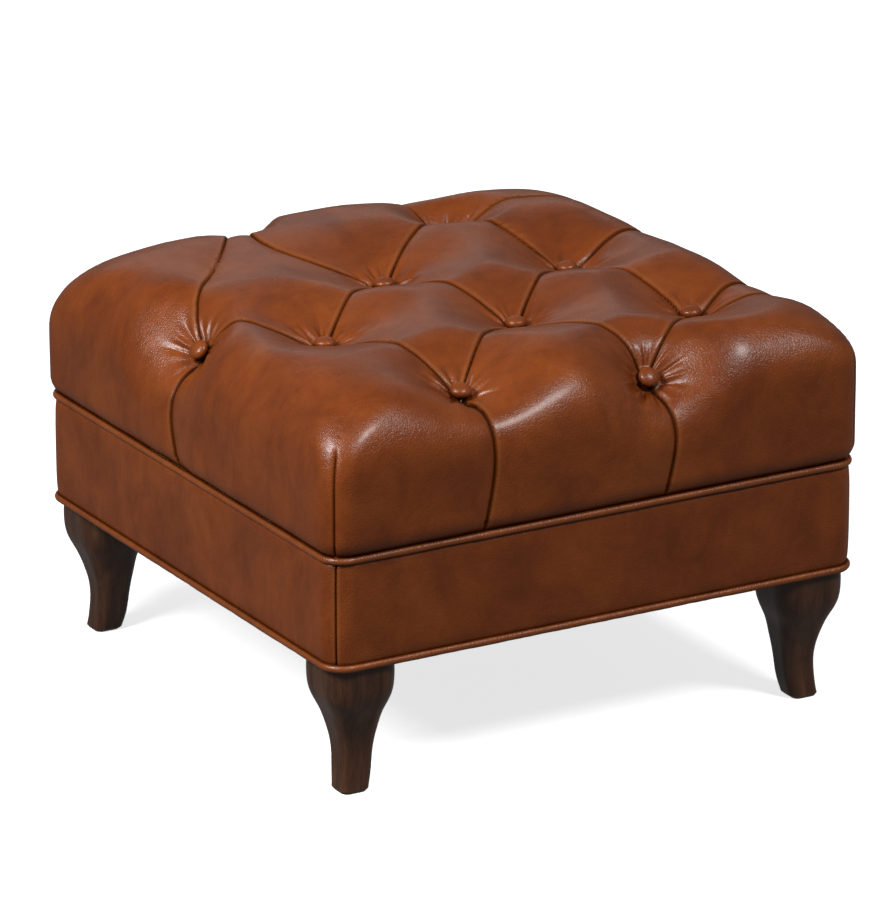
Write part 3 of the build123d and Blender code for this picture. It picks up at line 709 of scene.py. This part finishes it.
def nearest_on(line, points):
    """For each point: distance to a line of points, place along it, and the nearest point."""
    best = np.full(len(points), 1e9)
    place = np.zeros(len(points))
    near = np.zeros_like(points)
    for index in range(len(line) - 1):
        start, step = line[index], line[index + 1] - line[index]
        share = np.clip(((points - start) @ step) / (step @ step), 0, 1)
        foot = start + share[:, None] * step
        distance = np.linalg.norm(points - foot, axis=1)
        closer = distance < best
        best[closer] = distance[closer]
        place[closer] = (index + share[closer]) / (len(line) - 1)
        near[closer] = foot[closer]
    return best, place, near


def close_to(line, points, reach):
    """Indices of the points within a reach of a line's box."""
    low, high = line.min(0) - reach, line.max(0) + reach
    return np.flatnonzero(((points > low) & (points < high)).all(1))


def distance_to_lines(lines, points, reach):
    """Distance of each point to the nearest line, where it is within reach."""
    best = np.full(len(points), 1e9)
    for line in lines:
        chosen = close_to(line, points, reach)
        best[chosen] = np.minimum(best[chosen], nearest_on(line[::2], points[chosen])[0])
    return best


# Cushion

def domain_mesh(lines):
    """Square grid, made finer near folds and buttons, with its points still in the square."""
    grid = bmesh.new()
    line = np.linspace(-1, 1, COARSE_CELLS + 1)
    rows = [[grid.verts.new((a, b, 0)) for b in line] for a in line]
    for i in range(COARSE_CELLS):
        for j in range(COARSE_CELLS):
            grid.faces.new((rows[i][j], rows[i + 1][j], rows[i + 1][j + 1], rows[i][j + 1]))
    for band, well in zip(FINE_BAND, FINE_WELL):
        grid.verts.index_update()
        points = hull(np.array([v.co for v in grid.verts])[:, :2])
        near = distance_to_lines(lines, points, band) < band
        for anchor in ANCHORS.values():
            near |= np.linalg.norm(points - anchor, axis=1) < well
        chosen = [e for e in grid.edges if near[e.verts[0].index] and near[e.verts[1].index]]
        bmesh.ops.subdivide_edges(grid, edges=chosen, cuts=1, use_grid_fill=True)
    grid.verts.index_update()
    return grid


def snap_to_lines(lines, grid, domain, points):
    """Move the points beside each line onto it, and say which points moved."""
    spacing = np.full(len(points), np.inf)
    for edge in grid.edges:
        ends = [v.index for v in edge.verts]
        size = np.linalg.norm(points[ends[0]] - points[ends[1]])
        spacing[ends] = np.minimum(spacing[ends], size)
    snapped = np.zeros(len(points), bool)
    rim = np.abs(domain).max(1) > 1 - 1e-6
    for line in lines:
        chosen = close_to(line, points, SNAP_REACH)
        distance, _, near = nearest_on(line, points[chosen])
        moved = (distance < SNAP_SHARE * spacing[chosen]) & ~rim[chosen]
        points[chosen[moved]] = near[moved]
        snapped[chosen[moved]] = True
    return snapped


def fold_relief(shapes, points, normals):
    """Depth of the folds' cuts and steps, of their valleys, and their painted shade and painted
    highlights.
    """
    depth, valleys, dark, painted_highlight = (np.zeros(len(points)) for _ in range(4))
    for line, valley, keenness, ridge_side, dark_width in shapes:
        chosen = close_to(line, points, FOLD_REACH)
        distance, place, near = nearest_on(line, points[chosen])
        inside = distance < FOLD_REACH
        chosen, distance, place, near = (x[inside] for x in (chosen, distance, place, near))
        where = place * (len(line) - 1)
        index = np.minimum(where.astype(int), len(line) - 2)
        along = line[index + 1] - line[index]
        side = np.einsum("ij,ij->i", np.cross(along, normals[chosen]), points[chosen] - near)
        sign = np.where(side >= 0, ridge_side, -ridge_side)
        steps = np.arange(len(line))
        keen = np.interp(where, steps, keenness)
        past_end = (place <= 0) | (place >= 1)
        fade = np.where(past_end, bell(distance, FOLD_END), 1.0)
        groove = np.interp(where, steps, valley) * falling(distance, FOLD_VALLEY_WIDTH)
        valleys[chosen] += (groove * fade) ** VALLEY_POWER
        cut = FOLD_CUT * keen * falling(distance, FOLD_CUT_WIDTH)
        step_up = FOLD_STEP * keen * sign * (1 - falling(distance, FOLD_STEP_RISE))
        shape = (cut - step_up * falling(distance, FOLD_STEP_WIDTH)) * fade
        depth[chosen] = np.where(np.abs(shape) > np.abs(depth[chosen]), shape, depth[chosen])
        # Painted shade in the fold's crease, and a painted highlight on its ridge
        dark[chosen] = np.maximum(dark[chosen], keen * fade * bell(distance, dark_width))
        ridge = bell(distance - RIDGE_PLACE, RIDGE_WIDTH) * (sign > 0)
        painted_highlight[chosen] = np.maximum(painted_highlight[chosen], FOLD_HIGHLIGHT * ridge * fade)
    return depth, valleys ** (1 / VALLEY_POWER), dark, painted_highlight


def add_darts(darts, points, depth, dark):
    """Cut the corner seams into the depth and paint shade along them."""
    growth, start = DART_START
    for line in darts:
        chosen = close_to(line, points, DART_REACH)
        distance, place, _ = nearest_on(line, points[chosen])
        fade = smooth(place * growth + start)
        cut = (DART_CUT[0] * falling(distance, DART_CUT[1])
               + DART_DIP[0] * falling(distance, DART_DIP[1]))
        depth[chosen] += fade * cut
        dark[chosen] = np.maximum(dark[chosen], fade * bell(distance, DART_DARK))


def round_button(number, points):
    """Height of points over a button's top along its axis, distance from the axis, and angle."""
    facing = FACINGS[number]
    offset = points - TOPS[number]
    height = offset @ facing
    flat = offset - height[:, None] * facing
    level = np.cross([0, 0, 1], facing) if facing[2] < 1 else np.array([1.0, 0, 0])
    level /= np.linalg.norm(level)
    angle = np.arctan2(flat @ np.cross(facing, level), flat @ level)
    return height, np.linalg.norm(flat, axis=1), angle


def drawn_down(points):
    """Pull of all buttons on points of the hull, a vector each, and nearness to a button."""
    power = np.zeros(len(points))
    pull = np.zeros((len(points), 3))
    nearness = np.zeros(len(points))
    for number in BUTTONS:
        facing = FACINGS[number]
        distance = np.linalg.norm(points - ANCHORS[number], axis=1)
        reach = RIM_REACHES.get(number, WELL_REACH)
        share = np.clip((distance - WELL_START) / (reach - WELL_START), 0, 1)
        deepest = (ANCHORS[number] - TOPS[number]) @ facing + WELL_SEAT
        weight = (deepest * (1 - share) ** WELL_ROUND) ** WELL_POWER
        power += weight
        pull -= weight[:, None] * facing
        away = np.clip((distance - BUTTON_RADIUS) / CALM_REACH, 0, 1)
        nearness = np.maximum(nearness, 1 - away)
    size = power ** (1 / WELL_POWER) / np.maximum(np.linalg.norm(pull, axis=1), 1e-15)
    return pull * size[:, None], nearness


def wrinkles(points):
    """Small folds that run out from each button."""
    height = np.zeros(len(points))
    widest, deepest = WRINKLE_ZONE
    for number in BUTTONS:
        draw = np.random.default_rng(100 + number)
        rise, distance, angle = round_button(number, points)
        chosen = np.flatnonzero((distance < widest) & (rise > -deepest))
        away = distance[chosen]
        around = angle[chosen]
        total = np.zeros(len(chosen))
        for count in WRINKLE_COUNTS:
            fineness = WRINKLE_COUNTS[0] / count
            swirl = draw.uniform(-WRINKLE_SWIRL, WRINKLE_SWIRL)
            turn = around * count + draw.uniform(0, 2 * math.pi) + swirl * away / MM * SWIRL_RATE
            length = draw.uniform(*WRINKLE_LENGTHS) * MM * fineness ** FINE_SHORTER
            fade = (smooth((away - WRINKLE_START) / WRINKLE_RISE)
                    * (1 - smooth((away - WRINKLE_FALL) / length)))
            strength = 0.5 + 0.5 * np.sin(around * draw.integers(1, 5) + draw.uniform(0, 6.3))
            crease = np.abs(np.sin(turn / 2))
            total += (crease - WRINKLE_MIDDLE) * fade * strength * fineness ** FINE_LOWER
        height[chosen] += WRINKLE_HEIGHT * total
    return height


def split_on_folds(grid, snapped):
    """Split quads that a fold crosses from corner to corner, and faces with more sides."""
    for face in list(grid.faces):
        verts = list(face.verts)
        tags = [snapped[v.index] for v in verts]
        if tags == [True, False, True, False]:
            bmesh.utils.face_split(face, verts[0], verts[2])
        elif tags == [False, True, False, True]:
            bmesh.utils.face_split(face, verts[1], verts[3])
    bmesh.ops.triangulate(grid, faces=[f for f in grid.faces if len(f.verts) > 4])


def close_underside(grid):
    """Turn the leather in behind the piping and close the cushion at the deck."""
    inner = deck_half + UNDERSIDE_GAPS[0]
    for height in (foot_z, deck_z + UNDERSIDE_GAPS[1]):
        for vertex in extrude_rim(grid):
            set_span(vertex, inner)
            vertex.co.z = height
    close_rim(grid)


def make_cushion():
    """Tufted leather cushion: a closed form with wells, folds, darts and a flat underside."""
    shapes = folds()
    darts = [dart_line(sign_x, sign_y) for sign_x in (-1, 1) for sign_y in (-1, 1)]
    lines = [shape[0] for shape in shapes] + darts
    grid = domain_mesh(lines)
    domain = np.array([v.co for v in grid.verts])[:, :2]
    points = hull(domain)
    normals = hull_normals(domain)
    snapped = snap_to_lines(lines, grid, domain, points)

    depth, valleys, dark, painted_highlight = fold_relief(shapes, points, normals)
    add_darts(darts, points, depth, dark)
    pull, nearness = drawn_down(points)
    depth += valleys - wrinkles(points)
    depth += UNEVEN[0] * waves(points, UNEVEN[1], 5) * (1 - nearness)
    at_foot = smooth((points[:, 2] - foot_z) / FOOT_BLEND)
    placed = points + pull - normals * (depth * at_foot)[:, None]
    # Painted shade round each button and along the foot above the piping
    for number in BUTTONS:
        beside = round_button(number, points)[1] - BUTTON_RADIUS
        dark = np.maximum(dark, RIM_SHADE[0] * bell(beside, RIM_SHADE[1]))
    dark = np.maximum(dark, FOOT_SHADE[0] * bell(points[:, 2] - foot_z, FOOT_SHADE[1]))

    split_on_folds(grid, snapped)
    for vertex, place in zip(grid.verts, placed):
        vertex.co = place
    close_underside(grid)
    mesh = bpy.data.meshes.new("cushion_leather")
    grid.to_mesh(mesh)
    grid.free()
    piece = add_piece("cushion_leather", mesh, leather)
    set_painted_light(piece, dark, painted_highlight)
    stand_for(piece, "cushion_cover", "cushion_wadding", "cushion_foam")


# Piping, band and buttons

def square_path(half, radius, spacing):
    """Even points round a rounded square, with outward directions."""
    straight = half - radius
    quarter = []
    for y in np.linspace(-straight, straight, int(2 * straight / spacing), endpoint=False):
        quarter.append(((half, y), (1.0, 0.0)))
    for angle in np.linspace(0, math.pi / 2, PIPING_CORNER_STEPS, endpoint=False):
        out = (math.cos(angle), math.sin(angle))
        quarter.append(((straight + radius * out[0], straight + radius * out[1]), out))
    points, outs = [], []
    for c, s in SIDES.values():
        for (x, y), (u, v) in quarter:
            points.append((c * x - s * y, s * x + c * y))
            outs.append((c * u - s * v, s * u + c * v))
    return np.array(points), np.array(outs)


def ring_faces(columns, rows):
    """Quads of a closed tube, columns along it and rows round it."""
    return [(i * rows + j, ((i + 1) % columns) * rows + j,
             ((i + 1) % columns) * rows + (j + 1) % rows, i * rows + (j + 1) % rows)
            for i in range(columns) for j in range(rows)]


def make_piping(name, z, seed, replaced):
    """Leather piping: a round cord's cover, slightly uneven, with painted shade at its sewn roots
    and a painted highlight along its front.
    """
    path, outs = square_path(side_half, CORNER_RADIUS, PIPING_SPACING)
    angles = np.linspace(0, 2 * math.pi, PIPING_ROWS, endpoint=False)
    ring = np.repeat(np.arange(len(path)), PIPING_ROWS)
    angle = np.tile(angles, len(path))
    points = np.stack([*path[ring].T, np.full(len(ring), z)], 1)
    lumps = np.ones(len(points))
    for index, (height, length) in enumerate(PIPING_LUMPS):
        lumps += height * waves(points, length, seed + index)
    inward = np.clip(-np.cos(angle), 0, 1)
    radius = piping_radius * np.minimum(lumps, PIPING_LIMIT) * (1 - PIPING_FLAT * inward)
    points[:, :2] += outs[ring] * (radius * np.cos(angle))[:, None]
    points[:, 2] += radius * np.sin(angle)
    piece = add_piece(name, plain_mesh(name, points, ring_faces(len(path), PIPING_ROWS)), leather)
    # Painted shade above and below the piping, and a painted highlight along its front
    roots = smooth((np.abs(np.sin(angle)) - PIPING_SHADE) / (1 - PIPING_SHADE))
    painted_highlight = PIPING_HIGHLIGHT[0] * smooth(np.cos(angle - PIPING_HIGHLIGHT[1]) * 2 - 1)
    set_painted_light(piece, PIPING_SHADE * roots * (np.cos(angle) < 0.7), painted_highlight)
    stand_for(piece, replaced)


def make_band_panel(side, seed):
    """One padded panel of the band, closed at the back, drawn in at its edges and seams, with
    painted shade along them.
    """
    low = lower_z + piping_radius * BAND_GAP
    high = upper_z - piping_radius * BAND_GAP
    straight = side_half - CORNER_RADIUS
    reach = straight + CORNER_RADIUS * math.pi / 4
    inner = np.linspace(-reach + SEAM_ZONE, reach - SEAM_ZONE, BAND_COLUMNS)
    edge = reach - np.array(SEAM_STEPS) * MM
    along = np.sort(np.concatenate([-edge, inner, edge]))
    up = (1 - np.cos(np.linspace(0, math.pi, BAND_ROWS))) / 2
    a, t = (values.ravel() for values in np.meshgrid(along, up, indexing="ij"))
    z = low + (high - low) * t

    # Distances out and sideways, and the outward direction there
    turn = np.clip((np.abs(a) - straight) / CORNER_RADIUS, 0, None)
    x = np.where(turn > 0, straight + CORNER_RADIUS * np.cos(turn), side_half)
    y = np.where(turn > 0, straight + CORNER_RADIUS * np.sin(turn), np.abs(a)) * np.sign(a)
    out_x = np.where(turn > 0, np.cos(turn), 1.0)
    out_y = np.where(turn > 0, np.sin(turn) * np.sign(a), 0.0)

    def on_side(x, y):
        c, s = SIDES[side]
        return np.stack([c * x - s * y, s * x + c * y, z], 1)

    edge_near = np.minimum(t, 1 - t) * (high - low)
    seam_near = reach - np.abs(a)
    push = BAND_SWELL[0] * (1 - falling(edge_near, BAND_SWELL[1]))
    push -= BAND_TUCK[0] * falling(edge_near, BAND_TUCK[1])
    for depth, width in (SEAM_CUT, SEAM_DIP):
        push -= depth * falling(seam_near, width)
    calm = smooth(edge_near / BAND_CALM[0]) * smooth(seam_near / BAND_CALM[1])
    base = on_side(x, y)
    for index, (height, length) in enumerate(BAND_WAVES):
        push += height * waves(base, length, seed + index) * calm
    points = on_side(x + out_x * push, y + out_y * push)

    mesh = plain_mesh(f"band_{side}", points, sheet_faces(len(along), BAND_ROWS))
    panel = bmesh.new()
    panel.from_mesh(mesh)
    for vertex in extrude_rim(panel):
        if span(vertex) > deck_half + BAND_INSET:
            set_span(vertex, deck_half + BAND_INSET)
    close_rim(panel)
    bmesh.ops.recalc_face_normals(panel, faces=panel.faces)
    panel.to_mesh(mesh)
    panel.free()
    piece = add_piece(f"band_{side}", mesh, leather)
    # Painted shade along the seams and the piping, and a painted highlight beside the seams
    dark = np.maximum(SEAM_SHADE[0] * bell(seam_near, SEAM_SHADE[1]),
                      BAND_SHADE[0] * bell(edge_near, BAND_SHADE[1]))
    seam_highlight, highlight_place, highlight_width = SEAM_HIGHLIGHT
    set_painted_light(piece, dark, seam_highlight * bell(seam_near - highlight_place, highlight_width))
    stand_for(piece, f"band_leather_{side}", f"band_padding_{side}")


def button_ring(share):
    """Radius and height of a button's section, by the share of the way to its skirt's foot."""
    quarter = math.pi / 2 * DOME_TURN
    if share <= DOME_SHARE:
        turn = share / DOME_SHARE * quarter
        return BUTTON_RADIUS * math.sin(turn), -DOME_HEIGHT * (1 - math.cos(turn))
    down = (share - DOME_SHARE) / (1 - DOME_SHARE)
    edge = -DOME_HEIGHT * (1 - math.cos(quarter))
    return BUTTON_RADIUS * (1 - SKIRT_TAPER * down ** 2), edge - SKIRT_HEIGHT * down


def make_button(number):
    """Domed button in pleated leather, with a skirt down into its seat and painted shade on the
    skirt.
    """
    shade, shade_start, shade_length = SKIRT_SHADE
    points, dark = [(0, 0, 0)], [0.0]
    for ring in range(1, BUTTON_RINGS + 1):
        share = ring / BUTTON_RINGS
        radius, z = button_ring(share)
        gathered = GATHER_DEPTH * smooth((share - GATHER_START[0]) / GATHER_START[1])
        for spoke in range(BUTTON_SPOKES):
            angle = 2 * math.pi * spoke / BUTTON_SPOKES
            r = radius + gathered * math.sin(GATHERS * angle + number)
            points.append((r * math.cos(angle), r * math.sin(angle), z))
            dark.append(shade * smooth((share - shade_start) / shade_length))
    faces = [(0, 1 + i, 1 + (i + 1) % BUTTON_SPOKES) for i in range(BUTTON_SPOKES)]
    for start in range(1, len(points) - BUTTON_SPOKES, BUTTON_SPOKES):
        for i in range(BUTTON_SPOKES):
            j = (i + 1) % BUTTON_SPOKES
            below = start + BUTTON_SPOKES
            faces.append((start + i, below + i, below + j, start + j))
    faces.append(tuple(reversed(range(len(points) - BUTTON_SPOKES, len(points)))))
    up = FACINGS[number]
    x_axis = np.cross([0, 1, 0], up)
    x_axis /= np.linalg.norm(x_axis)
    placed = TOPS[number] + np.array(points) @ np.array([x_axis, np.cross(up, x_axis), up])
    name = f"covered_button_{number}"
    piece = add_piece(name, plain_mesh(name, placed, faces), leather)
    set_painted_light(piece, dark, np.zeros(len(dark)))
    stand_for(piece, f"button_{number}")


# Camera, floor and light
CAMERA_AZIMUTH = -29.94            # degrees round from the front
CAMERA_ELEVATION = 19.27
CAMERA_TARGET = Vector((-1.25, -1.12, 232.12)) * MM
CAMERA_DISTANCE = 7877.4 * MM
CAMERA_LENS = 305.22               # millimetres, on a sensor 36 mm wide
LIGHT_TARGET = (0, 0, 0.25)
FLOOR_REACH = 12.0


def direction(azimuth, elevation):
    """Unit vector from degrees round from the front and degrees up."""
    azimuth, elevation = math.radians(azimuth), math.radians(elevation)
    return Vector((math.sin(azimuth) * math.cos(elevation),
                   -math.cos(azimuth) * math.cos(elevation), math.sin(elevation)))


def add_aimed(name, data, place, target):
    """Camera or light somewhere, pointed at a target."""
    thing = bpy.data.objects.new(name, data)
    bpy.context.scene.collection.objects.link(thing)
    thing.location = place
    thing.rotation_mode = "QUATERNION"
    thing.rotation_quaternion = (Vector(target) - Vector(place)).to_track_quat("-Z", "Y")
    return thing


def make_camera():
    """Camera at the photograph's angle, far off with a long lens."""
    data = bpy.data.cameras.new("camera")
    data.lens = CAMERA_LENS
    data.clip_end = 40
    place = CAMERA_TARGET + direction(CAMERA_AZIMUTH, CAMERA_ELEVATION) * CAMERA_DISTANCE
    bpy.context.scene.camera = add_aimed("camera", data, place, CAMERA_TARGET)


def make_light(name, place, size, power):
    """Soft rectangular light, in watts."""
    data = bpy.data.lights.new(name, "AREA")
    data.shape = "RECTANGLE"
    data.size, data.size_y = size
    data.energy = power
    add_aimed(name, data, place, LIGHT_TARGET)


def make_sun(name, azimuth, elevation, spread, strength):
    """Far soft light; spread is its width in degrees."""
    data = bpy.data.lights.new(name, "SUN")
    data.angle = math.radians(spread)
    data.energy = strength
    add_aimed(name, data, direction(azimuth, elevation), (0, 0, 0))


def make_stage():
    """Pale floor that reaches past the frame, and an even pale surround.

    The floor glows a little and the leather doesn't mirror it, so that both keep their colour.
    """
    made, _, shader = material("pale_floor")
    shader.inputs["Base Color"].default_value = (0.86, 0.86, 0.86, 1)
    shader.inputs["Roughness"].default_value = 0.9
    shader.inputs["Emission Color"].default_value = (1, 1, 1, 1)
    shader.inputs["Emission Strength"].default_value = 0.75
    corners = [(x * FLOOR_REACH, y * FLOOR_REACH, 0)
               for x, y in ((-1, -1), (1, -1), (1, 1), (-1, 1))]
    floor = add_piece("floor", plain_mesh("floor", corners, [(0, 1, 2, 3)]), made)
    floor.visible_diffuse = False
    floor.visible_glossy = False
    world = bpy.data.worlds.new("surround")
    bpy.context.scene.world = world
    world.use_nodes = True
    background = world.node_tree.nodes["Background"]
    background.inputs["Color"].default_value = (1, 1, 1, 1)
    background.inputs["Strength"].default_value = 0.12


make_camera()
make_stage()
make_light("key", (-2.2, -0.45, 2.0), (0.9, 0.9), 68)
make_sun("front", azimuth=22, elevation=51, spread=15, strength=1.5)
make_light("back", (1.0, 2.5, 1.2), (1.8, 0.5), 1.5)
bpy.context.scene.view_settings.view_transform = "Standard"

dress_nodes()
make_cushion()
make_piping("upper_piping_leather", upper_z, 21, "upper_piping")
make_piping("lower_piping_leather", lower_z, 31, "lower_piping")
for index, side in enumerate(SIDES):
    make_band_panel(side, 40 + 3 * index)
for number in BUTTONS:
    make_button(number)
